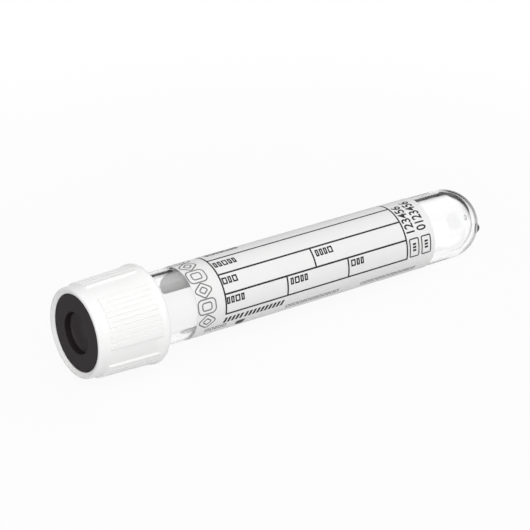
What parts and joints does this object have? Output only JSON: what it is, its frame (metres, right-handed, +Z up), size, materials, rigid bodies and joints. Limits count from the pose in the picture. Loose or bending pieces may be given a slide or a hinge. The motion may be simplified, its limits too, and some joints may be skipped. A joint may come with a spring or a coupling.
{
  "type": "blood collection tube",
  "caption": "Clear round-ended sample tube lying on its side, with a ribbed white screw cap, black retaining ring, rubber stopper and printed paper label.",
  "frame": {"origin": "on the surface that the tube lies on, at the centre of its footprint", "axes": "+Z up; +X along the lying tube towards its round end, with the cap at -X; +Y to the tube's back"},
  "size_m": [0.0836, 0.0172, 0.0172],
  "materials": {
    "clear_plastic": "clear, glossy, injection moulded",
    "white_plastic": "white, satin, moulded",
    "black_plastic": "matt black, moulded",
    "rubber": "matt dark grey rubber",
    "paper": "coated white paper with black and grey print"
  },
  "bodies": {
    "tube_body": {"tube": "clear_plastic", "label": "paper"},
    "stopper_body": {"stopper": "rubber"},
    "cap_body": {"cap": "white_plastic", "retaining_ring": "black_plastic"}
  },
  "joints": [
    {"name": "closure_lift", "type": "slide", "parent": "tube_body", "child": "stopper_body", "axis": [-0.9993, 0, 0.0375], "range_m": [0, 0.012]},
    {"name": "cap_turn", "type": "hinge", "parent": "stopper_body", "child": "cap_body", "pos_m": [-0.04149, 0, 0.00907], "axis": [-0.9993, 0, 0.0375], "range_deg": [0, 360]}
  ],
  "couplings": [
    {"joint": "cap_turn", "follows": "closure_lift", "rad_per_m": 523.6}
  ]
}
